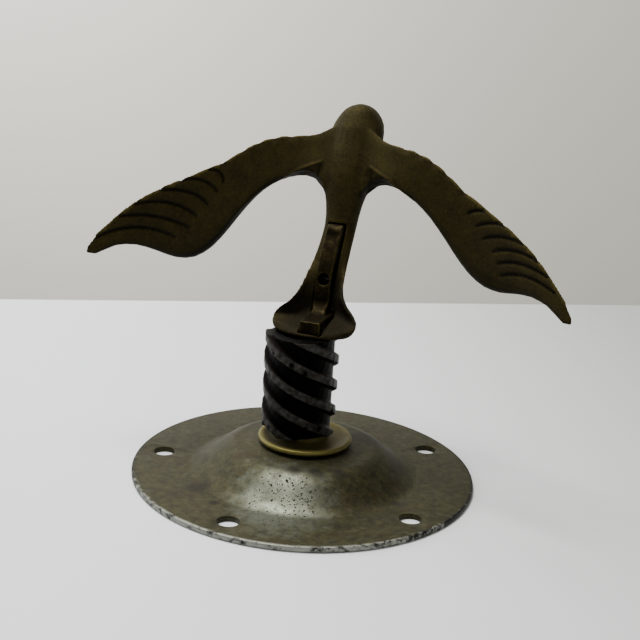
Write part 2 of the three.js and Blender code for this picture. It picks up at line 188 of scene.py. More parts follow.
foot_radius = plate_radius - rim_width
stud_hole = stud_radius + stud_play
plate_top = [(shoulder_radius * i / 8, crown_height(shoulder_radius * i / 8)) for i in range(2, 8)]
slope_steps = 28
for i in range(slope_steps + 1):
    share = i / slope_steps
    fall = (1 - math.cos(math.pi * share)) / 2
    plate_top.append((
        shoulder_radius + (foot_radius - shoulder_radius) * share,
        shoulder_height + (plate_thickness - shoulder_height) * fall,
    ))
plate_under = []
for before, here, after in zip(plate_top[:1] + plate_top, plate_top, plate_top[1:] + plate_top[-1:]):
    along = (Vector(after) - Vector(before)).normalized()
    plate_under.append((
        here[0] + along.y * plate_thickness,
        max(here[1] - along.x * plate_thickness, 0),
    ))
edge_round = 0.45 * mm
plate_outline = [(stud_hole, crown_height(stud_hole) - plate_thickness)] + plate_under
plate_outline += arc((plate_radius - edge_round, edge_round), edge_round, -90, 0, 4)
plate_outline += arc((plate_radius - edge_round, plate_thickness - edge_round), edge_round, 0, 90, 4)
plate_outline += plate_top[::-1] + [(stud_hole, crown_height(stud_hole))]
plate = spun("plate", plate_outline, 180)

for i in range(screw_hole_count):
    turn = screw_hole_start + 2 * math.pi * i / screw_hole_count
    reach = plate_radius - screw_hole_inset
    bpy.ops.object.select_all(action="DESELECT")
    bpy.ops.mesh.primitive_cylinder_add(
        vertices=48,
        radius=screw_hole_radius,
        depth=4 * plate_thickness,
        location=(reach * math.cos(turn), reach * math.sin(turn), plate_thickness / 2),
    )
    drill = bpy.context.object
    finished(plate, "BOOLEAN", operation="DIFFERENCE", object=drill, solver="EXACT")
    bpy.data.objects.remove(drill)
finished(plate, "BEVEL", width=0.18 * mm, segments=2, limit_method="ANGLE", angle_limit=math.radians(50))
smooth(plate, 40)


def linear(hex_colour):
    """An sRGB hex colour as linear red, green, blue and alpha."""
    parts = [int(hex_colour[i:i + 2], 16) / 255 for i in (1, 3, 5)]
    return [part / 12.92 if part <= 0.04045 else ((part + 0.055) / 1.055) ** 2.4 for part in parts] + [1]


def add(tree, kind, settings=None, inputs=None):
    """Adds a shader node. Settings are its properties; inputs are values, or outputs to link from."""
    made = tree.nodes.new("ShaderNode" + kind)
    for setting, value in (settings or {}).items():
        setattr(made, setting, value)
    for socket, value in (inputs or {}).items():
        if isinstance(value, bpy.types.NodeSocket):
            tree.links.new(value, made.inputs[socket])
        else:
            made.inputs[socket].default_value = value
    return made


def metal(name, constants):
    """A new metal, with its tree, its shader, and its place on the piece in millimetres."""
    made = bpy.data.materials.new(name)
    made.use_nodes = True
    tree = made.node_tree
    shader = tree.nodes["Principled BSDF"]
    shader.inputs["Metallic"].default_value = 1
    for socket, value in constants.items():
        shader.inputs[socket].default_value = value
    place = add(tree, "TexCoord").outputs["Object"]
    place = add(tree, "VectorMath", {"operation": "SCALE"}, {0: place, "Scale": 1000}).outputs[0]
    return made, tree, shader, place


def painted(piece, material):
    piece.data.materials.clear()
    piece.data.materials.append(material)


# Settings that many nodes share: an eased ramp, a blend of two colours, and the distance between places.
eased = {"interpolation_type": "SMOOTHSTEP"}
of_colours = {"data_type": "RGBA"}
apart = {"operation": "DISTANCE"}


# Stained plated steel: satin where the stain holds, so its reflections are broad and brown, and
# shinier and grey where it is rubbed bare, with rust pits under half a millimetre across. The paler grey
# patch on the front of the dome's slope is partly real wear and partly a painted highlight.
plate_steel, tree, shader, place = metal("stained_plated_steel", {})
radius = add(tree, "VectorMath", {"operation": "MULTIPLY"}, {0: place, 1: (1, 1, 0)}).outputs[0]
radius = add(tree, "VectorMath", {"operation": "LENGTH"}, {0: radius}).outputs["Value"]
# The rubbed patch on the front of the slope is partly real wear and partly a painted highlight: its paler grey
# lies where the light glances off the slope.
rubbed_and_highlight_place = (4, -30, 5)
rubbed_and_highlight = add(tree, "VectorMath", apart, {0: place, 1: rubbed_and_highlight_place}).outputs["Value"]
rubbed_and_highlight = add(tree, "MapRange", eased, {0: rubbed_and_highlight, 1: 22, 2: 2}).outputs[0]
patches = add(
    tree, "TexNoise", {}, {"Vector": place, "Scale": 0.3, "Detail": 9, "Roughness": 0.72}
).outputs[0]
wear_and_highlight = add(tree, "Math", {"operation": "MULTIPLY_ADD"}, {0: rubbed_and_highlight, 1: 0.5, 2: patches}).outputs[0]
wear_and_highlight = add(tree, "MapRange", eased, {0: wear_and_highlight, 1: 0.5, 2: 1.15}).outputs[0]
stain = add(
    tree, "TexNoise", {}, {"Vector": place, "Scale": 0.45, "Detail": 10, "Roughness": 0.78}
).outputs[0]
stain = add(tree, "ValToRGB", {}, {0: stain})
stain.color_ramp.elements[0].position = 0.36
stain.color_ramp.elements[0].color = linear("#1a180b")
stain.color_ramp.elements[1].position = 0.65
stain.color_ramp.elements[1].color = linear("#3c3a20")
rust = add(tree, "TexNoise", {}, {"Vector": place, "Scale": 0.11, "Detail": 12, "Roughness": 0.74}).outputs[0]
rust = add(tree, "MapRange", eased, {0: rust, 1: 0.53, 2: 0.66, 4: 0.75}).outputs[0]
colour = add(tree, "Mix", of_colours, {0: rust, 6: stain.outputs[0], 7: linear("#2b1d0c")}).outputs[2]
colour = add(tree, "Mix", of_colours, {0: wear_and_highlight, 6: colour, 7: linear("#676b60")}).outputs[2]
grain = add(tree, "TexNoise", {}, {"Vector": place, "Scale": 1.2, "Detail": 5, "Roughness": 0.7}).outputs[0]
pit_field = add(tree, "MapRange", {}, {0: rubbed_and_highlight, 1: 0, 2: 0.8, 3: 0.68, 4: 0.56}).outputs[0]
pits = add(tree, "Math", {"operation": "SUBTRACT"}, {0: grain, 1: pit_field}).outputs[0]
pits = add(tree, "MapRange", {}, {0: pits, 1: 0, 2: 0.05}).outputs[0]
colour = add(tree, "Mix", of_colours, {0: pits, 6: colour, 7: linear("#1a1610")}).outputs[2]

# Darker blotches: place in millimetres, half width and strength. Most are where drops have dried; the three
# in an arc just in front of the collar are painted shadow of the collar.
for blotch_place, blotch_reach, blotch_strength in (
    ((16, 12, 9), 6, 0.75),
    ((26, 9, 5), 4, 0.6),
    ((32, -12, 3), 2.4, 0.8),
    ((-22, -26, 2), 3.6, 0.85),
    ((-14, -33, 2), 1.6, 0.9),
    ((-26, -33, 2), 2.2, 0.6),
    # Painted shadow of the collar, in an arc across the front of the crown:
    ((4, -19.5, 9), 2.4, 0.6),
    ((10, -18, 9), 2.6, 0.7),
    ((15.5, -15, 9), 2.4, 0.6),
    ((-21, 12, 8), 5, 0.6),
):
    blotch = add(tree, "VectorMath", apart, {0: place, 1: blotch_place}).outputs["Value"]
    blotch = add(tree, "MapRange", {}, {0: blotch, 1: 0, 2: 2 * blotch_reach, 3: 0.75, 4: -0.25}).outputs[0]
    blotch = add(tree, "Math", {"operation": "ADD"}, {0: blotch, 1: patches}).outputs[0]
    blotch = add(tree, "MapRange", eased, {0: blotch, 1: 0.6, 2: 1.05, 4: blotch_strength})
    colour = add(tree, "Mix", of_colours, {0: blotch.outputs[0], 6: colour, 7: linear("#16120b")}).outputs[2]

edge = add(tree, "MapRange", {}, {0: radius, 1: 48.8, 2: 49.6}).outputs[0]
front = add(tree, "VectorMath", {"operation": "DOT_PRODUCT"}, {0: place, 1: (0, -1, 0)}).outputs["Value"]
front = add(tree, "MapRange", {}, {0: front, 1: 10, 2: 45, 3: -0.12, 4: 0.05}).outputs[0]
chips = add(tree, "TexNoise", {}, {"Vector": place, "Scale": 0.5, "Detail": 8, "Roughness": 0.75}).outputs[0]
chips = add(tree, "Math", {"operation": "ADD"}, {0: chips, 1: front}).outputs[0]
chips = add(tree, "MapRange", {}, {0: chips, 1: 0.44, 2: 0.56}).outputs[0]
edge_colour = add(tree, "Mix", of_colours, {0: chips, 6: linear("#14120e"), 7: linear("#85877f")})
colour = add(tree, "Mix", of_colours, {0: edge, 6: colour, 7: edge_colour.outputs[2]}).outputs[2]
tree.links.new(colour, shader.inputs["Base Color"])
roughness = add(tree, "MapRange", {}, {0: wear_and_highlight, 1: 0, 2: 1, 3: 0.52, 4: 0.4}).outputs[0]
roughness = add(tree, "Math", {"operation": "MULTIPLY_ADD"}, {0: grain, 1: 0.16, 2: roughness}).outputs[0]
roughness = add(tree, "Math", {"operation": "MULTIPLY_ADD"}, {0: pits, 1: 0.3, 2: roughness}).outputs[0]
tree.links.new(roughness, shader.inputs["Roughness"])
dull = add(tree, "MapRange", {}, {0: wear_and_highlight, 1: 0, 2: 1, 3: 0.72, 4: 1}).outputs[0]
tree.links.new(dull, shader.inputs["Metallic"])
height = add(tree, "Math", {"operation": "MULTIPLY_ADD"}, {0: pits, 1: -0.6, 2: grain}).outputs[0]
bump = add(tree, "Bump", {}, {"Strength": 0.5, "Distance": 0.08 * mm, "Height": height})
tree.links.new(bump.outputs[0], shader.inputs["Normal"])

painted(plate, plate_steel)
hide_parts("base_plate")
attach(plate, "base")


# Collar: a turned brass washer with a beaded edge, a shallow dish, and a low hub that carries the sleeve.
# Handling keeps the bead bright; the dish holds dark polish and dirt.
collar_low, collar_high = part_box("collar")
collar_radius = collar_high.x
collar_bead = 0.75 * mm
collar_hub_radius = 7 * mm
collar_dish_depth = 0.7 * mm
dish_outer = collar_radius - 2 * collar_bead
dish_top = collar_low.z + 2 * collar_bead
ease = 0.25 * mm
collar_outline = [(stud_hole, collar_low.z), (collar_radius - collar_bead, collar_low.z)]
collar_outline += arc((collar_radius - collar_bead, collar_low.z + collar_bead), collar_bead, -78, 90, 14)
for i in range(1, 10):
    share = i / 10
    collar_outline.append((
        dish_outer + (collar_hub_radius - dish_outer) * share,
        dish_top - collar_dish_depth * math.sin(math.pi * share),
    ))
collar_outline += [(collar_hub_radius, dish_top), (collar_hub_radius, collar_high.z - ease)]
collar_outline += [(collar_hub_radius - ease, collar_high.z), (stud_hole, collar_high.z)]
collar = spun("dished_collar", collar_outline, 128)
smooth(collar, 40)

# Old turned brass: a golden metal gone olive, smooth on the bead and dull brown down in the dish.
collar_brass, tree, shader, place = metal("old_turned_brass", {"Metallic": 0.65})
radius = add(tree, "VectorMath", {"operation": "MULTIPLY"}, {0: place, 1: (1, 1, 0)}).outputs[0]
radius = add(tree, "VectorMath", {"operation": "LENGTH"}, {0: radius}).outputs["Value"]
tarnish = add(
    tree, "TexNoise", {}, {"Vector": place, "Scale": 0.5, "Detail": 6, "Roughness": 0.65}
).outputs[0]
bead = add(tree, "MapRange", {}, {0: radius, 1: 11.6, 2: 12.8}).outputs[0]
bare = add(tree, "Math", {"operation": "MULTIPLY_ADD"}, {0: bead, 1: 0.5, 2: tarnish}).outputs[0]
bare = add(tree, "MapRange", eased, {0: bare, 1: 0.45, 2: 1.25}).outputs[0]
colour = add(tree, "Mix", of_colours, {0: bare, 6: linear("#4f4822"), 7: linear("#615a28")}).outputs[2]
tree.links.new(colour, shader.inputs["Base Color"])
roughness = add(tree, "MapRange", {}, {0: bare, 1: 0, 2: 1, 3: 0.6, 4: 0.5}).outputs[0]
tree.links.new(roughness, shader.inputs["Roughness"])
scuffs = add(tree, "TexNoise", {}, {"Vector": place, "Scale": 2.2, "Detail": 4}).outputs[0]
bump = add(tree, "Bump", {}, {"Strength": 0.25, "Distance": 0.04 * mm, "Height": scuffs})
tree.links.new(bump.outputs[0], shader.inputs["Normal"])

painted(collar, collar_brass)
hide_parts("collar")
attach(collar, "base")


# Spiral sleeve: a steel tube milled with four left-hand ridges and blacked. It stands loose on the
# collar, off the stud's centre, and its crests are rubbed grey and nicked.
def copy_of(node_name, piece_name):
    """A copy of a CAD node, with its loose triangles joined, as a piece of its own."""
    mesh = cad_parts[node_name].data.copy()
    piece = bpy.data.objects.new(piece_name, mesh)
    bpy.context.collection.objects.link(piece)
    bpy.ops.object.select_all(action="DESELECT")
    bpy.context.view_layer.objects.active = piece
    piece.select_set(True)
    bpy.ops.object.mode_set(mode="EDIT")
    bpy.ops.mesh.select_all(action="SELECT")
    bpy.ops.mesh.remove_doubles(threshold=0.001 * mm)
    bpy.ops.mesh.customdata_custom_splitnormals_clear()
    bpy.ops.object.mode_set(mode="OBJECT")
    return piece


def points_of(piece):
    """The places of a piece's vertices, in metres."""
    flat = np.empty(len(piece.data.vertices) * 3)
    piece.data.vertices.foreach_get("co", flat)
    return flat.reshape(-1, 3)


def normals_of(piece):
    flat = np.empty(len(piece.data.vertices) * 3)
    piece.data.vertex_normals.foreach_get("vector", flat)
    return flat.reshape(-1, 3)


def reshaped(piece, points):
    """Moves a piece's vertices to new places."""
    piece.data.vertices.foreach_set("co", points.ravel())
    piece.data.update()


def edges_of(piece):
    flat = np.empty(len(piece.data.edges) * 2, dtype=np.int32)
    piece.data.edges.foreach_get("vertices", flat)
    return flat.reshape(-1, 2)


def neighbour_mean(values, edges):
    """For each vertex, the mean of a value over the vertices that it shares an edge with."""
    count = len(values)
    first, second = edges.T
    total = np.bincount(first, values[second], count) + np.bincount(second, values[first], count)
    links = np.bincount(first, minlength=count) + np.bincount(second, minlength=count)
    return total / np.maximum(links, 1)


def pull_to_mean(points, edges):
    """The step that would take each vertex to the middle of its neighbours."""
    return np.stack([neighbour_mean(points[:, axis], edges) for axis in range(3)], axis=1) - points


def relaxed(piece, rounds, share=0.5, give_back=1.04):
    """Eases a mesh's sharp corners, as tumbling or handling does. Each round pulls in and pushes back out,
    so that thin edges keep their place."""
    points, edges = points_of(piece), edges_of(piece)
    for _ in range(rounds):
        points += share * pull_to_mean(points, edges)
        points -= share * give_back * pull_to_mean(points, edges)
    reshaped(piece, points)
    return piece


def mark_corners(piece, spread):
    """Stores how far each vertex stands out (worn) or lies in a corner (dirty), each from 0 to 1."""
    points, edges = points_of(piece), edges_of(piece)
    bend = -(pull_to_mean(points, edges) * normals_of(piece)).sum(axis=1)
    for _ in range(spread):
        bend = 0.5 * bend + 0.5 * neighbour_mean(bend, edges)
    for name, values in (("worn", bend), ("dirty", -bend)):
        level = max(np.percentile(values, 97), 1e-9)
        layer = piece.data.attributes.new(name, "FLOAT", "POINT")
        layer.data.foreach_set("value", np.clip(values / level, 0, 1).astype(np.float32))


sleeve_low, sleeve_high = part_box("spiral_sleeve")
sleeve_axis = np.array([(sleeve_low.x + sleeve_high.x) / 2, (sleeve_low.y + sleeve_high.y) / 2])
sleeve_radius = (sleeve_high.x - sleeve_low.x) / 2
sleeve = copy_of("spiral_sleeve", "ridged_sleeve")
finished(sleeve, "REMESH", mode="VOXEL", voxel_size=0.26 * mm)
relaxed(sleeve, 4)

nick_count = 26
nick_size = 0.8 * mm
nick_depth = 0.55 * mm
dice = np.random.default_rng(7)
points = points_of(sleeve)
outward = np.zeros_like(points)
outward[:, :2] = points[:, :2] - sleeve_axis
reach = np.linalg.norm(outward, axis=1)
outward /= np.maximum(reach, 1e-9)[:, None]
crest = np.flatnonzero(reach > sleeve_radius - 0.25 * mm)
for start in points[dice.choice(crest, nick_count)]:
    away = np.linalg.norm(points - start, axis=1)
    size = nick_size * dice.uniform(0.4, 1.2)
    depth = nick_depth * dice.uniform(0.2, 1)
    points -= outward * (depth * np.exp(-((away / size) ** 2)))[:, None]
reshaped(sleeve, points)
mark_corners(sleeve, 3)
smooth(sleeve, 60)

# Blacked steel: a thin dark skin with a dull sheen, brown in the grooves, and grey steel where the
# skin is rubbed through on the crests.
black_steel, tree, shader, place = metal("blacked_steel", {})
axis = add(tree, "VectorMath", {"operation": "SUBTRACT"}, {0: place, 1: (*(sleeve_axis / mm), 0)}).outputs[0]
radius = add(tree, "VectorMath", {"operation": "MULTIPLY"}, {0: axis, 1: (1, 1, 0)}).outputs[0]
radius = add(tree, "VectorMath", {"operation": "LENGTH"}, {0: radius}).outputs["Value"]
crest = add(tree, "MapRange", eased, {0: radius, 1: 10.45, 2: 10.85}).outputs[0]
mottle = add(tree, "TexNoise", {}, {"Vector": place, "Scale": 0.55, "Detail": 7, "Roughness": 0.7}).outputs[0]
worn = add(tree, "Attribute", {"attribute_name": "worn"}).outputs["Fac"]
left_skin = add(tree, "MapRange", {}, {0: mottle, 1: 0.4, 2: 0.62, 3: 0.3, 4: 0.95}).outputs[0]
bare = add(tree, "Math", {"operation": "MULTIPLY"}, {0: crest, 1: left_skin}).outputs[0]
bare = add(tree, "Math", {"operation": "MULTIPLY_ADD"}, {0: worn, 1: 0.1, 2: bare}).outputs[0]
skin = add(tree, "Mix", of_colours, {0: mottle, 6: linear("#040303"), 7: linear("#0b0807")}).outputs[2]
colour = add(tree, "Mix", of_colours, {0: bare, 6: skin, 7: linear("#3e3c38")}).outputs[2]
tree.links.new(colour, shader.inputs["Base Color"])
roughness = add(tree, "MapRange", {}, {0: bare, 1: 0, 2: 1, 3: 0.6, 4: 0.42}).outputs[0]
tree.links.new(roughness, shader.inputs["Roughness"])
grain = add(tree, "TexNoise", {}, {"Vector": place, "Scale": 2.4, "Detail": 4}).outputs[0]
bump = add(tree, "Bump", {}, {"Strength": 0.5, "Distance": 0.06 * mm, "Height": grain})
tree.links.new(bump.outputs[0], shader.inputs["Normal"])

painted(sleeve, black_steel)
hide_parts("spiral_sleeve")
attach(sleeve, "sleeve")


# Stud: a steel rod that holds the whole stack together. Its lower end is threaded for the nut, and its
# narrower upper end screws into the foot of the tang.
stud_low, stud_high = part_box("stud")
spigot_radius = 1.4 * mm
thread_pitch = 0.8 * mm
thread_depth = 0.42 * mm
thread_top = stud_low.z + 9 * mm
shank_top = sleeve_high.z
stud_chamfer = 0.5 * mm
rows_in_a_pitch = 6

stud_outline = [(0, stud_low.z), (stud_radius - stud_chamfer, stud_low.z)]
thread_rows = round((thread_top - stud_low.z - stud_chamfer) / thread_pitch * rows_in_a_pitch)
for row in range(thread_rows + 1):
    stud_outline.append((stud_radius, stud_low.z + stud_chamfer + row * thread_pitch / rows_in_a_pitch))
stud_outline += [(stud_radius, shank_top), (spigot_radius, shank_top)]
stud_outline += [(spigot_radius, stud_high.z - stud_chamfer), (spigot_radius - stud_chamfer, stud_high.z)]
stud_outline += [(0, stud_high.z)]
stud = spun("threaded_stud", stud_outline, 36)
points = points_of(stud)
radius = np.hypot(points[:, 0], points[:, 1])
turn = np.arctan2(points[:, 1], points[:, 0]) / (2 * math.pi)
along = (points[:, 2] / thread_pitch - turn) % 1
threaded = (radius > stud_radius - 0.01 * mm) & (points[:, 2] < thread_top)
cut = np.where(threaded, thread_depth * np.abs(2 * along - 1), 0)
points[:, :2] *= (1 - cut / np.maximum(radius, 1e-9))[:, None]
reshaped(stud, points)
smooth(stud, 35)

# Plain bright steel gone grey: even, half dull, with the faint mottle of old oil.
bolt_steel, tree, shader, place = metal("oiled_bolt_steel", {})
mottle = add(tree, "TexNoise", {}, {"Vector": place, "Scale": 0.8, "Detail": 6, "Roughness": 0.6}).outputs[0]
colour = add(tree, "Mix", of_colours, {0: mottle, 6: linear("#4a453c"), 7: linear("#99968d")}).outputs[2]
tree.links.new(colour, shader.inputs["Base Color"])
roughness = add(tree, "MapRange", {}, {0: mottle, 1: 0.3, 2: 0.7, 3: 0.55, 4: 0.35}).outputs[0]
tree.links.new(roughness, shader.inputs["Roughness"])
grain = add(tree, "TexNoise", {}, {"Vector": place, "Scale": 3, "Detail": 3}).outputs[0]
bump = add(tree, "Bump", {}, {"Strength": 0.25, "Distance": 0.03 * mm, "Height": grain})
tree.links.new(bump.outputs[0], shader.inputs["Normal"])

painted(stud, bolt_steel)
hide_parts("stud")
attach(stud, "figure")


# Washers, nut and tang screw: stamped and turned steel with lightly broken edges.
# The flat washer stays with the plate; the rest turn with the stud.
for node_name, piece_name, body in (
    ("flat_washer", "wide_washer", "base"),
    ("spring_washer", "split_washer", "figure"),
    ("nut", "hexagon_nut", "figure"),
    ("tang_screw", "slotted_screw", "figure"),
):
    fastener = copy_of(node_name, piece_name)
    finished(fastener, "BEVEL", width=0.08 * mm, segments=2, limit_method="ANGLE", angle_limit=math.radians(40))
    smooth(fastener, 40)
    # The tang screw takes the blacked steel so that it reads dark like the shadowed notch it sits in: painted
    # shade.
    painted(fastener, black_steel if node_name == "tang_screw" else bolt_steel)
    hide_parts(node_name)
    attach(fastener, body)


# Tang: a filed brass bar let into the bird's tail, with a block at its foot that the stud screws into.
# Filing and handling have rounded its outer corners, and solder fills the corner between bar and block.
tang = copy_of("tang", "filed_tang")
finished(tang, "REMESH", mode="VOXEL", voxel_size=0.2 * mm)
fillet_radius = 4.6 * mm
bar_half_width = 2.4 * mm
foot_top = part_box("tang")[0].z + 4.4 * mm
bar_face = 7.04 * mm
bar_lean = 0.118
points = points_of(tang)
leaning_face = bar_face + bar_lean * (points[:, 2] - foot_top)
from_centre = np.stack([leaning_face - points[:, 1], points[:, 2] - foot_top], axis=1) - fillet_radius
reach = np.linalg.norm(from_centre, axis=1)
in_corner = (from_centre < 0).all(axis=1) & (from_centre > -fillet_radius - 0.25 * mm).all(axis=1)
in_corner &= (reach > fillet_radius) & (np.abs(points[:, 0]) < bar_half_width + 0.05 * mm)
moved = from_centre[in_corner] * (fillet_radius / reach[in_corner])[:, None] + fillet_radius
points[in_corner, 1] = bar_face + bar_lean * moved[:, 1] - moved[:, 0]
points[in_corner, 2] = foot_top + moved[:, 1]
reshaped(tang, points)
relaxed(tang, 16, 0.5, 0)
mark_corners(tang, 2)
smooth(tang, 60)

# Filed brass: warmer and brighter than the casting, brown between the file marks.
tang_brass, tree, shader, place = metal("filed_brass", {})
tarnish = add(tree, "TexNoise", {}, {"Vector": place, "Scale": 0.5, "Detail": 7, "Roughness": 0.7}).outputs[0]
worn = add(tree, "Attribute", {"attribute_name": "worn"}).outputs["Fac"]
bare = add(tree, "Math", {"operation": "MULTIPLY_ADD"}, {0: worn, 1: 0.22, 2: tarnish}).outputs[0]
bare = add(tree, "MapRange", eased, {0: bare, 1: 0.42, 2: 0.85}).outputs[0]
colour = add(tree, "Mix", of_colours, {0: bare, 6: linear("#17130a"), 7: linear("#332c18")}).outputs[2]
dirty = add(tree, "Attribute", {"attribute_name": "dirty"}).outputs["Fac"]
colour = add(tree, "Mix", of_colours, {0: dirty, 6: colour, 7: linear("#080603")}).outputs[2]
tree.links.new(colour, shader.inputs["Base Color"])
roughness = add(tree, "MapRange", {}, {0: bare, 1: 0, 2: 1, 3: 0.6, 4: 0.42}).outputs[0]
tree.links.new(roughness, shader.inputs["Roughness"])
file_marks = add(tree, "Mapping", {}, {"Vector": place, "Scale": (0.6, 3, 3)}).outputs[0]
file_marks = add(tree, "TexNoise", {}, {"Vector": file_marks, "Scale": 1, "Detail": 5}).outputs[0]
bump = add(tree, "Bump", {}, {"Strength": 0.6, "Distance": 0.12 * mm, "Height": file_marks})
tree.links.new(bump.outputs[0], shader.inputs["Normal"])

painted(tang, tang_brass)
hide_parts("tang")
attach(tang, "figure")


# Bird: sand-cast brass in one piece, with the flight feathers cut in as curved grooves. The casting's
# inner corners are soft, the leading edges of the wings are left with a sharp lower corner.
bird_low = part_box("bird")[0]
bird = copy_of("bird", "cast_bird")
eye_radius = 0.85 * mm
eye_aside = 4.3 * mm
eye_forward = 41.8 * mm
eye_height = 53.8 * mm
for side in (-1, 1):
    bpy.ops.object.select_all(action="DESELECT")
    eye_place = (side * eye_aside, eye_forward, bird_low.z + eye_height)
    bpy.ops.mesh.primitive_uv_sphere_add(segments=16, ring_count=10, radius=eye_radius, location=eye_place)
    bird.select_set(True)
    bpy.context.view_layer.objects.active = bird
    bpy.ops.object.join()
finished(bird, "REMESH", mode="VOXEL", voxel_size=0.37 * mm)
relaxed(bird, 3)

# The wings' thin upper edges lose a little height as the mesh is smoothed, which is given back here,
# fading to nothing at the wing's root.
edge_lift = 0.55 * mm
lift_root = 12
lift_fade = 8
points, normals = points_of(bird), normals_of(bird)
facing_up = np.clip((normals[:, 2] - 0.2) / 0.5, 0, 1)
facing_up = facing_up * np.clip((np.abs(points[:, 0]) / mm - lift_root) / lift_fade, 0, 1)
points[:, 2] += edge_lift * facing_up
reshaped(bird, points)


def filled(piece, share, rounds, renew=15):
    """Fills a mesh's inner corners. Only vertices with a share above nothing move."""
    edges = edges_of(piece)
    moving = np.flatnonzero(share > 0.02)
    number = np.full(len(share), -1)
    number[moving] = np.arange(len(moving))
    edges = number[edges]
    edges = edges[(edges >= 0).all(axis=1)]
    share = share[moving, None]
    for turn in range(rounds):
        if turn % renew == 0:
            everywhere = points_of(piece)
            points, normals = everywhere[moving], normals_of(piece)[moving]
        pull = pull_to_mean(points, edges)
        inward = (pull * normals).sum(axis=1, keepdims=True) > 0
        points = points + share * inward * pull
        if turn % renew == renew - 1:
            everywhere[moving] = points
            reshaped(piece, everywhere)


# Inner corners are filled by drawing them out towards their neighbours, as the mould's filler did, all
# but the channel in the tail, which stays sharp for the tang.
channel_half_width = 4.2 * mm
channel_height = 30 * mm
fill_share = 0.4
fill_rounds = 60
side_reach, above = np.abs(points[:, 0]), points[:, 2] - bird_low.z
in_channel = (side_reach < channel_half_width) & (above < channel_height)
filled(bird, np.where(in_channel, 0, fill_share), fill_rounds)
relaxed(bird, 2)


def curve_through(start, middle, end, steps=24):
    """Points on a curve that starts, passes half way through, and ends at three given points."""
    share = np.linspace(0, 1, steps)[:, None]
    start, middle, end = (np.array(point, float) for point in (start, middle, end))
    drawn_to = 2 * middle - (start + end) / 2
    return (1 - share) ** 2 * start + 2 * share * (1 - share) * drawn_to + share ** 2 * end


def distance_to(path, flat_points):
    """How far each point is from a path, and how far along the path its nearest point is, from 0 to 1."""
    nearest = np.full(len(flat_points), np.inf)
    along = np.zeros(len(flat_points))
    for i, (start, end) in enumerate(zip(path, path[1:])):
        step = end - start
        share = np.clip((flat_points - start) @ step / (step @ step), 0, 1)
        away = np.linalg.norm(flat_points - start - share[:, None] * step, axis=1)
        closer = away < nearest
        nearest[closer] = away[closer]
        along[closer] = (i + share[closer]) / (len(path) - 1)
    return nearest, along


# Each groove is cut by hand, so the wings differ a little. Seen from behind it starts on the upper edge,
# passes its middle and ends near the leading band: millimetres out from the middle and up from the table.
feather_grooves = {
    -1: [
        ((40.2, 83.2), (37.3, 82.6), (36.1, 79.2)),
        ((48, 79.7), (42, 79.9), (37.6, 76.4)),
        ((53, 76.6), (45.4, 76.1), (40.1, 72.3)),
        ((59.4, 72.2), (50.6, 72.7), (42.8, 68.4)),
        ((63.4, 68.4), (54.2, 68.4), (44.7, 64.9)),
        ((69.8, 61.6), (59.4, 65), (48.5, 61.6)),
    ],
    1: [
        ((42.9, 81.4), (40.4, 80.9), (38.1, 79.6)),
        ((49.8, 78.8), (45.3, 78.4), (40.8, 76.5)),
        ((55.8, 75), (49.5, 75.4), (43.1, 73.3)),
        ((60.6, 71.6), (53.1, 72.4), (46.4, 70.3)),
        ((63.8, 68), (55.3, 69.3), (48.3, 67.2)),
        ((66.4, 64.2), (57.6, 66.2), (49.3, 64)),
    ],
}
groove_half_width = 0.31
groove_depth = 0.55 * mm
edge_notch = 0.06 * mm
feather_swell = 0.16 * mm
feather_pitch = 3.6
covert_waves = [(17.5, 94.9), (22, 93.9), (26.5, 92.2), (31, 89.5), (36.2, 85.2)]
covert_reach = 1.2
covert_depth = 0.32 * mm

points, normals = points_of(bird), normals_of(bird)
from_behind = np.stack([np.abs(points[:, 0]), points[:, 2]], axis=1) / mm
push = np.zeros(len(points))
for side, grooves in feather_grooves.items():
    on_wing = np.flatnonzero(points[:, 0] * side > 14 * mm)
    nearby = from_behind[on_wing]
    nearest = np.full(len(on_wing), np.inf)
    for start, middle, end in grooves:
        away, along = distance_to(curve_through(start, middle, end), nearby)
        taper = np.clip((1 - along) / 0.25, 0, 1) ** 0.7
        depth = groove_depth * taper + edge_notch * np.clip(1 - along / 0.12, 0, 1)
        push[on_wing] -= depth * np.exp(-((away / groove_half_width) ** 2))
        nearest = np.minimum(nearest, np.where(along < 0.97, away, np.inf))
    rise = np.clip(nearest / (feather_pitch / 2), 0, 1)
    push[on_wing] -= np.where(np.isfinite(nearest), feather_swell * (1 - rise) ** 2, 0)
    for place in covert_waves:
        away = np.linalg.norm(nearby - place, axis=1)
        push[on_wing] -= covert_depth * np.exp(-((away / covert_reach) ** 2))
points += normals * push[:, None]
reshaped(bird, points)

# The wing's lower corner near the body: a bead along the corner, and a face cut back beneath it.
corner_path = [(7.5, 88.6), (13.5, 86), (19, 82.6), (25, 78.4), (31, 72.2), (38, 63)]
bead_height = 0.3 * mm
bead_half_width = 0.45
cut_back = 1.1 * mm
cut_back_reach = 2.4
points, normals = points_of(bird), normals_of(bird)
from_behind = np.stack([np.abs(points[:, 0]), points[:, 2]], axis=1) / mm
away, along = distance_to(np.array(corner_path, float), from_behind)
corner_height = np.interp(from_behind[:, 0], *np.array(corner_path, float).T)
facing_back = np.clip(-normals[:, 1] * 2, 0, 1) * (from_behind[:, 0] > 6) * (from_behind[:, 1] > 60)
fade = np.clip((1 - along) / 0.5, 0, 1) * np.clip((from_behind[:, 0] - 6) / 2, 0, 1)
below = np.clip((corner_height - from_behind[:, 1]) / cut_back_reach, 0, 1)
bead = bead_height * np.exp(-((away / bead_half_width) ** 2))
points += normals * ((bead - cut_back * below) * facing_back * fade)[:, None]
reshaped(bird, points)
relaxed(bird, 1)

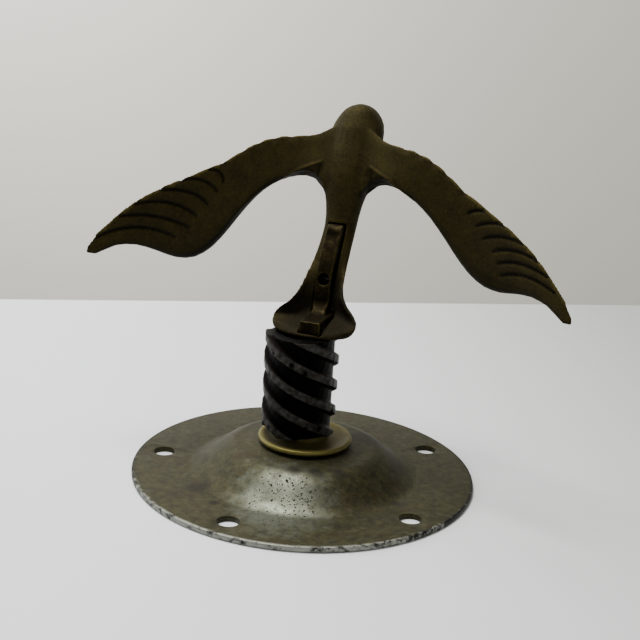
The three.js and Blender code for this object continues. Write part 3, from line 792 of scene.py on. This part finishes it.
# The wing tips are rounded off, and the faces that look down are noted: polish never reached them, and
# they also take painted shade.
tip_start = 69.8
tip_fade = 1.5
tip_rounds = 10
points, edges = points_of(bird), edges_of(bird)
at_tip = np.clip((np.abs(points[:, 0]) / mm - tip_start) / tip_fade, 0, 0.6)[:, None]
for _ in range(tip_rounds):
    points += at_tip * pull_to_mean(points, edges)
reshaped(bird, points)
under = np.clip(-2.2 * normals_of(bird)[:, 2], 0, 1)
bird.data.attributes.new("under", "FLOAT", "POINT").data.foreach_set("value", under.astype(np.float32))
mark_corners(bird, 2)
smooth(bird, 75)

# Cast brass with an old brown skin: dark olive and fairly dull, with the fine grain of the sand, darker in
# the grooves, and yellow metal where hands and polish reach the edges.
cast_brass, tree, shader, place = metal("cast_brass_with_brown_skin", {"Metallic": 0.85})
clouds = add(tree, "TexNoise", {}, {"Vector": place, "Scale": 0.2, "Detail": 9, "Roughness": 0.7}).outputs[0]
grain = add(tree, "TexNoise", {}, {"Vector": place, "Scale": 1.5, "Detail": 6, "Roughness": 0.7}).outputs[0]
worn = add(tree, "Attribute", {"attribute_name": "worn"}).outputs["Fac"]
dirty = add(tree, "Attribute", {"attribute_name": "dirty"}).outputs["Fac"]
skin = add(tree, "ValToRGB", {}, {0: clouds})
skin.color_ramp.elements[0].position = 0.36
skin.color_ramp.elements[0].color = linear("#1f1b09")
skin.color_ramp.elements[1].position = 0.66
skin.color_ramp.elements[1].color = linear("#302b10")
speckle = add(tree, "MapRange", {}, {0: grain, 1: 0.35, 2: 0.75, 4: 0.6}).outputs[0]
colour = add(tree, "Mix", of_colours, {0: speckle, 6: skin.outputs[0], 7: linear("#40360f")}).outputs[2]
bare = add(tree, "Math", {"operation": "MULTIPLY"}, {0: worn, 1: worn}).outputs[0]
bare = add(tree, "Math", {"operation": "MULTIPLY_ADD"}, {0: grain, 1: 0.5, 2: bare}).outputs[0]
bare = add(tree, "MapRange", eased, {0: bare, 1: 0.6, 2: 1.8}).outputs[0]
colour = add(tree, "Mix", of_colours, {0: bare, 6: colour, 7: linear("#52481f")}).outputs[2]
dirt = add(tree, "Math", {"operation": "MULTIPLY"}, {0: dirty, 1: 0.85}).outputs[0]
colour = add(tree, "Mix", of_colours, {0: dirt, 6: colour, 7: linear("#0a0803")}).outputs[2]

# The scoop of the tail and the faces that look down are darkened, partly by dirt and partly as painted shade
# where the light doesn't reach.
under = add(tree, "Attribute", {"attribute_name": "under"}).outputs["Fac"]
scoop_place = (2, 1, bird_low.z / mm + 4)
scoop = add(tree, "VectorMath", apart, {0: place, 1: scoop_place}).outputs["Value"]
scoop = add(tree, "MapRange", eased, {0: scoop, 1: 19, 2: 8, 4: 0.85}).outputs[0]
dirt_and_painted_shade = add(tree, "Math", {"operation": "MAXIMUM"}, {0: under, 1: scoop}).outputs[0]
dirt_and_painted_shade = add(tree, "Math", {"operation": "MULTIPLY"}, {0: dirt_and_painted_shade, 1: 0.85}).outputs[0]
colour = add(tree, "Mix", of_colours, {0: dirt_and_painted_shade, 6: colour, 7: linear("#0b0802")}).outputs[2]
tree.links.new(colour, shader.inputs["Base Color"])
roughness = add(tree, "MapRange", {}, {0: grain, 1: 0.3, 2: 0.7, 3: 0.82, 4: 0.66}).outputs[0]
tree.links.new(roughness, shader.inputs["Roughness"])
bump = add(tree, "Bump", {}, {"Strength": 0.4, "Distance": 0.08 * mm, "Height": grain})
tree.links.new(bump.outputs[0], shader.inputs["Normal"])

painted(bird, cast_brass)
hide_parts("bird")
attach(bird, "figure")


# Card and wall: matt white paper, a touch blue, and warm white paint. Both are painted greyer towards the
# right: painted shade for the light that falls off away from the left.
for surface, name, tint, painted_shade_tint in (
    (card, "white_card", "#e8ebf0", "#a2a4a3"),
    (wall, "warm_white_paint", "#f4f1e8", "#dcd9ce"),
):
    paper, tree, shader, place = metal(name, {"Metallic": 0, "Roughness": 0.75})
    across = add(tree, "SeparateXYZ", {}, {0: place}).outputs[0]
    # Painted shade: the colour darkens across the sheet towards the right.
    start, end = (-80, 230) if surface == card else (-700, 50)
    across = add(tree, "MapRange", eased, {0: across, 1: start, 2: end}).outputs[0]
    colour = add(tree, "Mix", of_colours, {0: across, 6: linear(tint), 7: linear(painted_shade_tint)}).outputs[2]
    tree.links.new(colour, shader.inputs["Base Color"])
    fibres = add(tree, "TexNoise", {}, {"Vector": place, "Scale": 1.2, "Detail": 3}).outputs[0]
    bump = add(tree, "Bump", {}, {"Strength": 0.05, "Distance": 0.05 * mm, "Height": fibres})
    tree.links.new(bump.outputs[0], shader.inputs["Normal"])
    painted(surface, paper)
